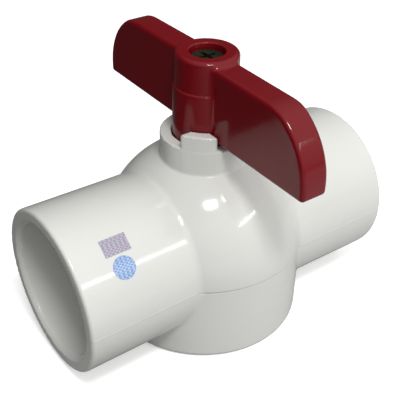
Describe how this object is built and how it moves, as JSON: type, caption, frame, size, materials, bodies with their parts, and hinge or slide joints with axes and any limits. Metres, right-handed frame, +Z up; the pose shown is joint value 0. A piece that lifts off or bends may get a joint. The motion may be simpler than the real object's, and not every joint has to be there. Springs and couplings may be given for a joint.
{
  "type": "three way valve",
  "caption": "Plastic three way ball valve with a slip socket at each end of the run, a bottom port in a round hub and a winged turning handle on top.",
  "frame": {"origin": "centre of the bottom hub's lower face, on the stem axis", "axes": "+Z up the stem axis, +X along the run towards the right socket, +Y across the run"},
  "size_m": [0.1292, 0.111, 0.104],
  "materials": {
    "white_pvc": "glossy moulded PVC",
    "ball_pvc": "polished PVC",
    "stem_pvc": "turned PVC",
    "ptfe": "satin PTFE",
    "black_rubber": "matte",
    "red_plastic": "glossy moulded plastic",
    "dark_steel": "dark olive zinc plate",
    "grey_label": "printed film",
    "blue_label": "printed film"
  },
  "bodies": {
    "housing": {"valve_body": "white_pvc", "bottom_port_bushing": "white_pvc", "left_seat": "ptfe", "right_seat": "ptfe", "left_seat_carrier": "white_pvc", "right_seat_carrier": "white_pvc", "left_seat_o_ring": "black_rubber", "right_seat_o_ring": "black_rubber", "bottom_seat": "ptfe", "bottom_seat_o_ring": "black_rubber", "stem_thrust_washer": "ptfe", "square_label": "grey_label", "round_label": "blue_label"},
    "handle_and_stem": {"handle": "red_plastic", "handle_washer": "dark_steel", "handle_screw": "dark_steel", "stem": "stem_pvc", "lower_stem_o_ring": "black_rubber", "upper_stem_o_ring": "black_rubber"},
    "port_ball": {"ball": "ball_pvc"}
  },
  "joints": [
    {"name": "handle_turn", "type": "hinge", "parent": "housing", "child": "handle_and_stem", "pos_m": [0, 0, 0.0315], "axis": [0, 0, 1], "range_deg": [0, 90]},
    {"name": "ball_turn", "type": "hinge", "parent": "housing", "child": "port_ball", "pos_m": [0, 0, 0.0315], "axis": [0, 0, 1], "range_deg": [0, 90]}
  ],
  "couplings": [
    {"joint": "ball_turn", "follows": "handle_turn", "ratio": 1}
  ]
}
